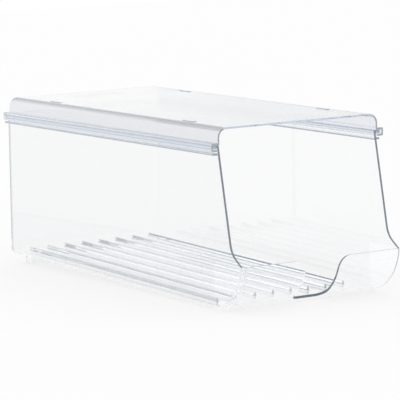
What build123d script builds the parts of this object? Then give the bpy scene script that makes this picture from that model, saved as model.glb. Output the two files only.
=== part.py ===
from build123d import *
from math import cos, radians, sin, tan
import os

os.makedirs("parts", exist_ok=True)

# Clear drawer organizer for a fridge shelf: an open-topped bin that slides under a hood-shaped cover.
# Frame: +X to the right, +Y to the back, +Z up. The origin lies on the shelf, below the middle of the
# organizer's width and of its depth. The open mouth and the scooped lip face -Y.

# ---------------------------------------------------------------- bin: driving dimensions, mm
depth = 374.0             # front of the lip to the outside of the back wall
bin_width = 165.2         # outside of one side wall to the outside of the other
rim_height = 138.7        # top of the side walls and of the back wall
wall = 2.0                # wall, floor and lip thickness
corner_round = 4.0        # outside radius of the upright corners and of the long bottom edges
heel_round = 5.5          # outside radius where the floor turns up into the back wall
scoop_radius = 44.0       # outside radius of the curved lip, which starts tangent to the shelf
lip_height = 40.5         # top of the lip
floor_tilt = 1.65         # degrees that the floor falls from the back wall to the lip

# ---------------------------------------------------------------- bin: front edge of the side walls
rim_setback = 35.2        # front end of the rim, behind the front of the lip
knee_setback = 17.5       # where the leaning edge meets the ramp, behind the front of the lip
knee_rise = 9.5           # the same corner, above the lip
knee_round = 18.0         # radius there
ramp_setback = 3.5        # where the ramp reaches the height of the lip, behind its front
lip_blend = 4.0           # radius between the ramp and the top of the lip

# ---------------------------------------------------------------- bin: finger cut-out in the lip
cutout_width = 35.0
cutout_depth = 26.5       # reach behind the front of the lip
cutout_inner_round = 9.0
cutout_top_round = 11.0

# ---------------------------------------------------------------- bin: floor ribs and rear feet
rib_count = 8
rib_margin = 17.15        # middle of the outermost rib to the outside of the side wall
rib_width = 3.0
rib_height = 3.5
rib_draft = 14.0          # degrees
rib_crest_round = 0.6
rib_back_gap = 8.0        # rib end to the inside of the back wall
rib_front_gap = 16.0      # rib end to the line where the floor starts to curve up
foot_width = 28.0
foot_length = 14.0
foot_round = 4.0
foot_inset = 9.0          # foot to the outside of the side wall and of the back wall

# ---------------------------------------------------------------- bin: rails along the rim
flange_reach = 4.6        # upper rail, outwards from the side wall
flange_thickness = 2.8
ridge_reach = 4.4         # lower rail, under the cover's hook
ridge_thickness = 1.8
ridge_gap = 1.4           # between the hook and the lower rail
rail_edge_round = 0.6

# ---------------------------------------------------------------- cover: driving dimensions, mm
cover_setback = 33.0      # front edge of the cover, behind the front of the lip
cover_back_gap = 6.0      # back edge of the cover, ahead of the outside of the back wall
cover_rise = 14.8         # top face of the cover above the rim
skirt_overhang = 0.4      # outside of the skirts beyond the outside of the side walls
cover_round = 8.5         # outside radius of the two long top edges
sheet = 1.6               # thickness of the top and of the skirts
hook_wall = 1.8           # thickness of the hooked channels
hook_round = 1.2          # outside corners of the channels
skirt_root_round = 2.0    # corner where a skirt runs out to its channel
slide_gap = 0.35          # clearance round the upper rail and beside the wall
nub_length = 18.0
nub_width = 5.0
nub_height = 0.5
nub_draft = 45.0          # degrees
nub_inset = 13.0          # middle of the nubs to the outside of the skirts
nub_front = 60.0          # middle of the front pair, behind the cover's front edge
nub_back = 62.0           # middle of the rear pair, ahead of the cover's back edge

# ---------------------------------------------------------------- places worked out from these
front = -depth / 2
back = depth / 2
half_bin = bin_width / 2
scoop_y = front + scoop_radius
tilt = radians(floor_tilt)

rim_front = front + rim_setback
rail_back = back - corner_round

hook_top = rim_height + slide_gap + hook_wall
leg_top = rim_height - flange_thickness - slide_gap
hook_bottom = leg_top - hook_wall
leg_tip = half_bin + slide_gap
hook_inside = half_bin + flange_reach + slide_gap
hook_outside = hook_inside + hook_wall
ridge_top = hook_bottom - ridge_gap

cover_front = front + cover_setback
cover_back = back - cover_back_gap
cover_height = rim_height + cover_rise
half_cover = half_bin + skirt_overhang


def floor_under(y):
    """Height of the floor's underside at a place behind the scoop."""
    start_y = scoop_y + scoop_radius * sin(tilt)
    start_z = scoop_radius * (1 - cos(tilt))
    return start_z + (y - start_y) * tan(tilt)


def floor_top(y):
    """Height of the floor's upper face at a place behind the scoop."""
    return floor_under(y) + wall / cos(tilt)


def tub(inset, top):
    """The bin's rounded body up to the height top, drawn in by inset on every side, as one solid."""
    with BuildPart() as body:
        with BuildSketch(Plane.YZ) as profile:
            with BuildLine():
                scoop = CenterArc((scoop_y, scoop_radius), scoop_radius - inset, 180, 90 + floor_tilt)
                Polyline(
                    scoop @ 1,
                    (back - inset, floor_under(back - inset) + inset / cos(tilt)),
                    (back - inset, top),
                    (front + inset, top),
                    scoop @ 0,
                )
            make_face()
            heel = profile.vertices().sort_by_distance((back, 0))[0]
            fillet(heel, heel_round - inset)
        extrude(amount=half_bin - inset, both=True)
        below_top = body.edges().filter_by(lambda edge: edge.center().Z < top - 0.01)
        beside = below_top.filter_by(lambda edge: abs(edge.center().X) > half_bin - inset - 0.01)
        fillet(beside, corner_round - inset)
    return body.part


# ================================================================ bin
# A tub with a sloping floor that curves up into the lip.
with BuildPart() as bin_body:
    add(tub(0.0, rim_height))
    add(tub(wall, rim_height + corner_round), mode=Mode.SUBTRACT)

    # Seen from the side, the walls' front edges lean forward, sweep out and run into the lip.
    knee_y = front + knee_setback
    knee_z = lip_height + knee_rise
    ramp_end = front + ramp_setback
    with BuildSketch(Plane.YZ) as side_view:
        with BuildLine():
            Polyline(
                (rim_front, rim_height),
                (knee_y, knee_z),
                (ramp_end, lip_height),
                (front - wall, lip_height),
                (front - wall, -wall),
                (back + wall, -wall),
                (back + wall, rim_height),
                close=True,
            )
        make_face()
        fillet(side_view.vertices().sort_by_distance((knee_y, knee_z))[0], knee_round)
        fillet(side_view.vertices().sort_by_distance((ramp_end, lip_height))[0], lip_blend)
    extrude(amount=half_bin + wall, both=True, mode=Mode.INTERSECT)

    # Finger cut-out, with its upper corners flared into the top of the lip.
    with BuildSketch(Plane.XY.offset(-wall)) as cutout:
        with Locations((0, front)):
            Rectangle(cutout_width, 2 * cutout_depth)
        fillet(cutout.vertices().group_by(Axis.Y)[-1], cutout_inner_round)
    extrude(amount=lip_height + 2 * wall, mode=Mode.SUBTRACT)
    with BuildSketch(Plane.XZ.offset(-front - cutout_depth)):
        with Locations((0, lip_height)):
            Rectangle(cutout_width + 2 * cutout_top_round, 2 * cutout_top_round)
        with Locations((0, lip_height - cutout_top_round)):
            with GridLocations(cutout_width + 2 * cutout_top_round, 0, 2, 1):
                Circle(cutout_top_round, mode=Mode.SUBTRACT)
    extrude(amount=cutout_depth + wall, mode=Mode.SUBTRACT)

    # Ribs along the floor, from the back wall to where the floor starts to curve up.
    rib_back = back - wall - rib_back_gap
    rib_front = scoop_y + rib_front_gap
    rib_middle = (rib_front + rib_back) / 2
    floor_plane = Plane(
        origin=(0, rib_middle, floor_top(rib_middle)),
        x_dir=(1, 0, 0),
        z_dir=(0, -sin(tilt), cos(tilt)),
    )
    rib_pitch = (bin_width - 2 * rib_margin) / (rib_count - 1)
    with BuildSketch(floor_plane):
        with GridLocations(rib_pitch, 0, rib_count, 1):
            SlotOverall((rib_back - rib_front) / cos(tilt), rib_width, rotation=90)
    extrude(amount=rib_height, taper=rib_draft)
    level_faces = bin_body.faces().filter_by(floor_plane)
    crests = level_faces.filter_by(
        lambda face: abs(floor_plane.to_local_coords(face.center()).Z - rib_height) < 0.01
    )
    fillet(crests.edges(), rib_crest_round)

    # Rear feet: short upright rings below the raised end of the floor.
    foot_x = half_bin - foot_inset - foot_width / 2
    foot_y = back - foot_inset - foot_length / 2
    with BuildSketch(Plane.XY):
        with Locations((-foot_x, foot_y), (foot_x, foot_y)):
            RectangleRounded(foot_width, foot_length, foot_round)
            RectangleRounded(
                foot_width - 2 * wall, foot_length - 2 * wall, foot_round - wall, mode=Mode.SUBTRACT
            )
    extrude(amount=floor_under(foot_y) + wall / 2)

    # Rails along both side walls: the upper one is flush with the rim, the lower one is under the hook.
    for side in (-1, 1):
        with BuildSketch(Plane.XZ.offset(-rail_back)) as rails:
            for reach, thickness, top in (
                (flange_reach, flange_thickness, rim_height),
                (ridge_reach, ridge_thickness, ridge_top),
            ):
                with Locations((side * (half_bin + (reach - wall) / 2), top - thickness / 2)):
                    Rectangle(reach + wall, thickness)
            tips = rails.vertices().filter_by(lambda v: abs(v.X) > half_bin + 0.01)
            fillet(tips, rail_edge_round)
        extrude(amount=rail_back - rim_front)

bin_body.part.label = "bin"
export_step(bin_body.part, "parts/bin.step")


# ================================================================ cover
def hood(inset, foot):
    """The cover's outline seen from the front, drawn in by inset, down to the height foot."""
    with BuildSketch() as outline:
        with Locations((0, cover_height - inset)):
            Rectangle(
                2 * (half_cover - inset),
                cover_height - inset - foot,
                align=(Align.CENTER, Align.MAX),
            )
        fillet(outline.vertices().group_by(Axis.Y)[-1], cover_round - inset)
    return outline.sketch


# One bent sheet: a flat top, two skirts, and a hooked channel along the foot of each skirt.
with BuildPart() as cover:
    with BuildSketch(Plane.XZ.offset(-cover_back)) as section:
        add(hood(0.0, hook_top - hook_wall))
        add(hood(sheet, 0.0), mode=Mode.SUBTRACT)
        with BuildLine():
            Polyline(
                (half_cover - sheet, hook_top),
                (hook_outside, hook_top),
                (hook_outside, hook_bottom),
                (leg_tip, hook_bottom),
                (leg_tip, leg_top),
                (hook_inside, leg_top),
                (hook_inside, hook_top - hook_wall),
                (half_cover - sheet, hook_top - hook_wall),
                close=True,
            )
        make_face()
        mirror(about=Plane.YZ)
        for side in (-1, 1):
            upper = section.vertices().sort_by_distance((side * hook_outside, hook_top))[0]
            lower = section.vertices().sort_by_distance((side * hook_outside, hook_bottom))[0]
            root = section.vertices().sort_by_distance((side * half_cover, hook_top))[0]
            fillet([upper, lower], hook_round)
            fillet(root, skirt_root_round)
    extrude(amount=cover_back - cover_front)

    # Low nubs on top, which keep whatever is stacked there from sliding.
    nub_x = half_cover - nub_inset
    nub_rows = (cover_front + nub_front, cover_back - nub_back)
    with BuildSketch(Plane.XY.offset(cover_height)):
        with Locations(*[(side * nub_x, row) for side in (-1, 1) for row in nub_rows]):
            SlotOverall(nub_length, nub_width, rotation=90)
    extrude(amount=nub_height, taper=nub_draft)

cover.part.label = "cover"
export_step(cover.part, "parts/cover.step")
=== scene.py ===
import math

import bpy
from mathutils import Matrix, Vector


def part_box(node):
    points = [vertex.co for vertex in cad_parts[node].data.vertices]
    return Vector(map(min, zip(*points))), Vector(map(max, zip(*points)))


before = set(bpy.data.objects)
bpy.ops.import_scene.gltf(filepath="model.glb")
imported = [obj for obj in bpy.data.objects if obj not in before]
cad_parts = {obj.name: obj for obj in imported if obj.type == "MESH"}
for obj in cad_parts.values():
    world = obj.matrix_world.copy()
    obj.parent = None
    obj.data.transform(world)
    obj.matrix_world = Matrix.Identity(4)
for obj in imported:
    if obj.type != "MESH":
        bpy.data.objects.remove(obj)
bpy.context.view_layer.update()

# ---------------------------------------------------------------- bin
# The drawer: one clear moulding of a stiff general-purpose plastic, about 2 mm thick, with the
# floor ribs, the scooped lip, the rails and the rear feet all moulded in one shot. Polished tool
# faces leave it glossy. The grey-blue and the dark lines at its cut edges, where light caught
# inside the sheet comes out, are painted shade in the sheet's colour.


class Socket:
    """One output of a shader node, on which arithmetic adds further nodes.

    A Socket without an output stands at the start of a tree, to add the first nodes from.
    """

    def __init__(self, tree, output=None):
        self.tree = tree
        self.output = output

    def node(self, kind, inputs=None, settings=None, out=0):
        """Adds a node, makes its settings, fills or links its inputs and gives the output named."""
        made = self.tree.nodes.new(kind)
        for name, value in (settings or {}).items():
            setattr(made, name, value)
        for place, value in (inputs or {}).items():
            if isinstance(value, Socket):
                self.tree.links.new(value.output, made.inputs[place])
            else:
                made.inputs[place].default_value = value
        return Socket(self.tree, made.outputs[out]) if made.outputs else None

    def maths(self, operation, a, b):
        return self.node("ShaderNodeMath", {0: a, 1: b}, {"operation": operation})

    def __add__(self, other):
        return self.maths("ADD", self, other)

    def __radd__(self, other):
        return self.maths("ADD", other, self)

    def __sub__(self, other):
        return self.maths("SUBTRACT", self, other)

    def __rsub__(self, other):
        return self.maths("SUBTRACT", other, self)

    def __mul__(self, other):
        return self.maths("MULTIPLY", self, other)

    def __rmul__(self, other):
        return self.maths("MULTIPLY", other, self)

    def __gt__(self, other):
        return self.maths("GREATER_THAN", self, other)

    def __lt__(self, other):
        return self.maths("LESS_THAN", self, other)

    def __abs__(self):
        return self.maths("ABSOLUTE", self, 0.0)

    def between(self, low, high):
        return (self > low) * (self < high)

    def ramp(self, start, end, first=0.0, last=1.0):
        """Gives first up to start, last from end on, and a straight run from one to the other."""
        return self.node("ShaderNodeMapRange", {0: self, 1: start, 2: end, 3: first, 4: last})

    def colour(self, first, last):
        """Gives the colour first where this mask is 0 and the colour last where it is 1."""
        return self.node(
            "ShaderNodeMix", {0: self, 6: first, 7: last}, {"data_type": "RGBA"}, out=2
        )

    def parts(self):
        """Gives the x, y and z of this vector."""
        return [self.node("ShaderNodeSeparateXYZ", {0: self}, out=axis) for axis in range(3)]


refraction = 1.53
depth_tint = (0.5, 0.6, 0.7)
depth_density = 2.0
# Light that runs on and on inside the sheet is cut off by the renderer. This small glow on each
# surface stands for it.
trapped_light = (0.92, 0.96, 1.0)
trapped_share = 0.012
haze_scale, haze_detail = 14.0, 3.0
grain_scale, grain_detail = 160.0, 2.0
wave_scale, wave_detail = 22.0, 1.0
wave_strength, wave_height = 0.06, 0.001
polished, grain_roughness = 0.015, 0.02


def clear_plastic(name, clear_tint, hazy_tint, painted_shading):
    """Glossy clear plastic, faintly hazy, grained and wavy.

    The last argument is given the place and the normal, and gives pairs of a mask and the colour
    of the light and shade painted there.
    """
    material = bpy.data.materials.new(name)
    material.use_nodes = True
    tree = material.node_tree
    tree.nodes.clear()
    start = Socket(tree)
    place = start.node("ShaderNodeTexCoord", out="Object")
    normal = start.node("ShaderNodeTexCoord", out="Normal")

    def noise(scale, detail):
        return place.node(
            "ShaderNodeTexNoise", {"Vector": place, "Scale": scale, "Detail": detail}
        )

    tint = noise(haze_scale, haze_detail).colour((*clear_tint, 1), (*hazy_tint, 1))
    # Painted light and shade go over the plastic's own tint, one mask after another.
    for mask, shade in painted_shading(place.parts(), normal.parts()):
        tint = mask.colour(tint, (*shade, 1))
    waves = place.node(
        "ShaderNodeBump",
        {
            "Height": noise(wave_scale, wave_detail),
            "Strength": wave_strength,
            "Distance": wave_height,
        },
    )
    glass = place.node(
        "ShaderNodeBsdfPrincipled",
        {
            "Base Color": tint,
            "Roughness": polished + noise(grain_scale, grain_detail) * grain_roughness,
            "Normal": waves,
            "IOR": refraction,
            "Transmission Weight": 1.0,
            "Emission Color": (*trapped_light, 1),
            "Emission Strength": trapped_share,
        },
    )
    depth = start.node(
        "ShaderNodeVolumeAbsorption", {"Color": (*depth_tint, 1), "Density": depth_density}
    )
    start.node("ShaderNodeOutputMaterial", {"Surface": glass, "Volume": depth})
    return material


def dress(node, material):
    for slot in node.material_slots:
        slot.material = material


bin_low, bin_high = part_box("bin")
front = bin_low[1]
rim = bin_high[2]
# Share of a normal along an axis, from which a face counts as looking that way.
looking = 0.5
# Planes just inside and just outside a side wall.
wall_inside = 0.0795
wall_outside = 0.0832
# Painted dark shade on the front edges of the side walls, within this reach of the front.
wall_front_painted_shade = (0.20, 0.24, 0.28)
wall_front_reach = 0.06

# The lip, painted paler than the rest of the sheet, and its top edge and the sides and foot of the
# finger cut-out in it, painted with dark shade.
lip_top = 0.0405
lip_painted_light = (0.985, 0.987, 0.99)
lip_reach = 0.043
lip_over = 0.0005
lip_edge_painted_shade = (0.40, 0.44, 0.50)
lip_edge_band = 0.0004
scoop_side_painted_shade = (0.09, 0.115, 0.145)
scoop_half = 0.045
scoop_looking = 0.4
scoop_front, scoop_back = 0.02, 0.03
scoop_foot_painted_shade = (0.07, 0.09, 0.12)
scoop_foot_half = 0.019
scoop_foot_top = 0.012
scoop_foot_looking = -0.7

# The ribs stand on a floor that falls towards the lip. Their flanks are painted with grey-blue
# shade, which all but the two on the left lose in part near the lip, and the foot of the one along
# the right wall is painted as a dark line of shade.
floor_slope = math.tan(math.radians(1.65))
floor_start = -0.1417
floor_sheet = 0.002
rib_painted_shade = (0.56, 0.60, 0.65)
rib_area_half = 0.078
rib_foot, rib_crest = 0.0021, 0.0045
pale_start, pale_end, pale_share = -0.03, -0.09, 0.7
pale_side = -0.035
end_rib_painted_shade = (0.09, 0.12, 0.17)
end_rib_foot = 0.0023
end_rib_side = 0.06
end_rib_front = -0.115

# Painted shade on the rim, the rails outside the walls, and the ridge line of the upper rail.
rim_painted_shade = (0.52, 0.56, 0.61)
rim_band = 0.0011
rail_painted_shade = (0.80, 0.83, 0.87)
rail_foot = rim - 0.012
ridge_painted_shade = (0.36, 0.40, 0.46)
ridge_foot, ridge_crest = rim - 0.0083, rim - 0.0073

# Painted shade on the rounded corner between the left wall and the back wall.
corner_painted_shade = (0.66, 0.68, 0.70)
corner_start = 0.17
corner_side = -0.07
corner_looking = 0.05, 0.92
corner_looking_back = 0.3


# The light and shade painted on the bin, as pairs of a mask and its colour; each pair is painted
# over the ones before it.
def bin_painted_shading(at, normal):
    x, y, z = at
    aside, back, up = normal
    wall_fronts = abs(x).between(wall_inside, wall_outside) * (y < front + wall_front_reach)
    wall_fronts = wall_fronts * (z > lip_top) * (up - back > looking)

    lip = (y < front + lip_reach) * (z < lip_top + lip_over)
    lip_edge = z.between(lip_top - lip_edge_band, lip_top + lip_edge_band) * (up > looking)
    scoop_sides = (abs(x) < scoop_half) * (y < front + scoop_back)
    scoop_sides = scoop_sides * (abs(aside) > scoop_looking)
    scoop_foot = (abs(x) < scoop_foot_half) * y.between(front + scoop_front, front + scoop_back)
    scoop_foot = scoop_foot * (back < scoop_foot_looking) * (z < scoop_foot_top)

    above_floor = z - (y - floor_start) * floor_slope - floor_sheet
    flanks = (abs(x) < rib_area_half) * (abs(aside) > looking) * (above_floor < rib_crest)
    pale = y.ramp(pale_start, pale_end, 0.0, pale_share) * (x > pale_side)
    ribs = flanks * (above_floor > rib_foot) * (1 - pale)
    end_rib = flanks * (above_floor > end_rib_foot) * (x > end_rib_side) * (y > end_rib_front)

    rim_faces = (z > rim - rim_band) * (abs(x) > wall_inside)
    ridges = z.between(ridge_foot, ridge_crest) * (abs(x) > wall_inside)
    rails = (abs(x) > wall_outside) * (z > rail_foot)
    corner = (y > corner_start) * (x < corner_side) * abs(aside).between(*corner_looking)
    corner = corner * (abs(back) > corner_looking_back)
    return (
        (rails, rail_painted_shade),
        (rim_faces, rim_painted_shade),
        (ridges, ridge_painted_shade),
        (corner, corner_painted_shade),
        (lip, lip_painted_light),
        (ribs, rib_painted_shade),
        (end_rib, end_rib_painted_shade),
        (lip_edge, lip_edge_painted_shade),
        (scoop_sides, scoop_side_painted_shade),
        (scoop_foot, scoop_foot_painted_shade),
        (wall_fronts, wall_front_painted_shade),
    )


bin_clear = (0.95, 0.95, 0.95)
bin_hazy = (0.94, 0.942, 0.945)
bin_plastic = clear_plastic("bin_plastic", bin_clear, bin_hazy, bin_painted_shading)
dress(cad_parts["bin"], bin_plastic)

# ---------------------------------------------------------------- cover
# The hood: a second clear moulding of the same plastic, a little thinner than the bin. Hooked
# channels along the foot of its skirts hold it on the bin's rails, and it is pushed onto them from
# the front or the back. Its sheet is a little greyer. Its skirts, channels and bends are painted
# with shade, and its cut ends with a paler painted shade.
# Painted shade on the channels, the skirts and the cut ends.
channel_painted_shade = (0.78, 0.81, 0.86)
channel_top = rim + 0.0022
skirt_painted_shade = (0.80, 0.81, 0.835)
skirt_side = 0.07
skirt_top = rim + 0.0135
cut_end_painted_shade = (0.60, 0.64, 0.70)

# Painted shade on the rounded bends between the skirts and the top. The top itself isn't shaded
# with them.
bend_painted_shade = (0.38, 0.40, 0.43)
bend_foot = channel_top + 0.002
bend_start, bend_full, bend_flat = 0.65, 0.97, 0.998

# Painted shade: the top is a little greyer towards its front left corner.
front_left_painted_shade = (0.77, 0.775, 0.79)
front_left_shading_foot = channel_top + 0.008
front_left_shading_start, front_left_shading_full = 0.08, -0.06
front_left_shading_lean = 0.4


# The shade painted on the cover, as pairs of a mask and its colour; each pair is painted over the
# ones before it.
def cover_painted_shading(at, normal):
    x, y, z = at
    back, up = normal[1:]
    skirts = (abs(x) > skirt_side) * (z < skirt_top)
    channels = z < channel_top
    cut_ends = abs(back) > looking
    bend = (z > bend_foot) * (abs(x) > skirt_side) * (abs(up) < bend_flat)
    bend = bend * abs(up).ramp(bend_start, bend_full)
    front_left_shading = (y - front_left_shading_lean * x).ramp(front_left_shading_start, front_left_shading_full) * (z > front_left_shading_foot)
    return (
        (front_left_shading, front_left_painted_shade),
        (skirts, skirt_painted_shade),
        (channels, channel_painted_shade),
        (bend, bend_painted_shade),
        (cut_ends, cut_end_painted_shade),
    )


cover_clear = (0.90, 0.90, 0.905)
cover_hazy = (0.80, 0.803, 0.81)
cover_plastic = clear_plastic("cover_plastic", cover_clear, cover_hazy, cover_painted_shading)
dress(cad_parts["cover"], cover_plastic)

# ---------------------------------------------------------------- shelf
# The white paper sweep under the organizer. What is seen of it is for the most part plain white,
# so that only a faint soft shadow is left round the foot of the bin.
floor_side = 6.0
floor_glow = 0.8
white = (1, 1, 1, 1)
half = floor_side / 2
floor_mesh = bpy.data.meshes.new("shelf")
floor_mesh.from_pydata(
    [(-half, -half, 0), (half, -half, 0), (half, half, 0), (-half, half, 0)], [], [(0, 1, 2, 3)]
)
floor = bpy.data.objects.new("shelf", floor_mesh)
bpy.context.scene.collection.objects.link(floor)
floor_paper = bpy.data.materials.new("shelf_white")
floor_paper.use_nodes = True
floor_paper.node_tree.nodes.clear()
paper = Socket(floor_paper.node_tree)
seen = paper.node("ShaderNodeLightPath", out="Is Camera Ray")
for ray in ("Is Glossy Ray", "Is Transmission Ray"):
    seen = seen.maths("MAXIMUM", seen, paper.node("ShaderNodeLightPath", out=ray))
lit = paper.node("ShaderNodeBsdfDiffuse", {"Color": white})
glow = paper.node("ShaderNodeEmission", {"Color": white, "Strength": 1.0})
sheet = paper.node("ShaderNodeMixShader", {0: seen * floor_glow, 1: lit, 2: glow})
paper.node("ShaderNodeOutputMaterial", {"Surface": sheet})
floor_mesh.materials.append(floor_paper)

# ---------------------------------------------------------------- studio light
# A tent of white cloth all round, lit evenly from outside, with the open and so dimmer side of the
# studio at its mouth. Seen from the camera itself, the tent is plain white all over.
mouth_direction = (-0.56, -0.82, 0.13)
mouth_start, mouth_full, mouth_dimness = 0.1, 0.9, 0.25
tent = bpy.data.worlds.new("studio")
bpy.context.scene.world = tent
tent.use_nodes = True
tent.node_tree.nodes.clear()
sky = Socket(tent.node_tree)
where = sky.node("ShaderNodeTexCoord", out="Generated")
mouth = sky.node(
    "ShaderNodeVectorMath", {0: where, 1: mouth_direction}, {"operation": "DOT_PRODUCT"}, out=1
)
dimness = mouth.ramp(mouth_start, mouth_full, 0.0, mouth_dimness)
unseen = 1 - sky.node("ShaderNodeLightPath", out="Is Camera Ray")
light = sky.node("ShaderNodeBackground", {"Color": white, "Strength": 1 - dimness * unseen})
sky.node("ShaderNodeOutputWorld", {"Surface": light})

# ---------------------------------------------------------------- camera
# A long lens from the front left, a little above the cover and about a degree off level. Its place
# was worked out from edges and corners measured in the photograph.
camera_azimuth = math.radians(-34.276)
camera_elevation = math.radians(7.821)
camera_roll = math.radians(-1.0)
camera_distance = 2.5395
camera_aim = Vector((-0.03284, -0.05305, 0.07863))
film_width = 36.0
lens_length = 264.45
camera_data = bpy.data.cameras.new("photo_camera")
camera_data.sensor_width = film_width
camera_data.lens = lens_length
camera = bpy.data.objects.new("photo_camera", camera_data)
bpy.context.scene.collection.objects.link(camera)
backward = Vector(
    (
        math.sin(camera_azimuth) * math.cos(camera_elevation),
        -math.cos(camera_azimuth) * math.cos(camera_elevation),
        math.sin(camera_elevation),
    )
)
level = Vector((0, 0, 1)).cross(backward).normalized()
upright = backward.cross(level)
right = level * math.cos(camera_roll) + upright * math.sin(camera_roll)
top = upright * math.cos(camera_roll) - level * math.sin(camera_roll)
camera_turn = Matrix((right, top, backward)).transposed().to_4x4()
camera_place = Matrix.Translation(camera_aim + backward * camera_distance)
camera.matrix_world = camera_place @ camera_turn
bpy.context.scene.camera = camera
bpy.context.scene.view_settings.view_transform = "Standard"
# Light goes through many faces of the clear sheets before it gets out of them.
sheet_bounces = 40
bpy.context.scene.cycles.max_bounces = sheet_bounces
bpy.context.scene.cycles.transmission_bounces = sheet_bounces
bpy.context.scene.cycles.glossy_bounces = sheet_bounces
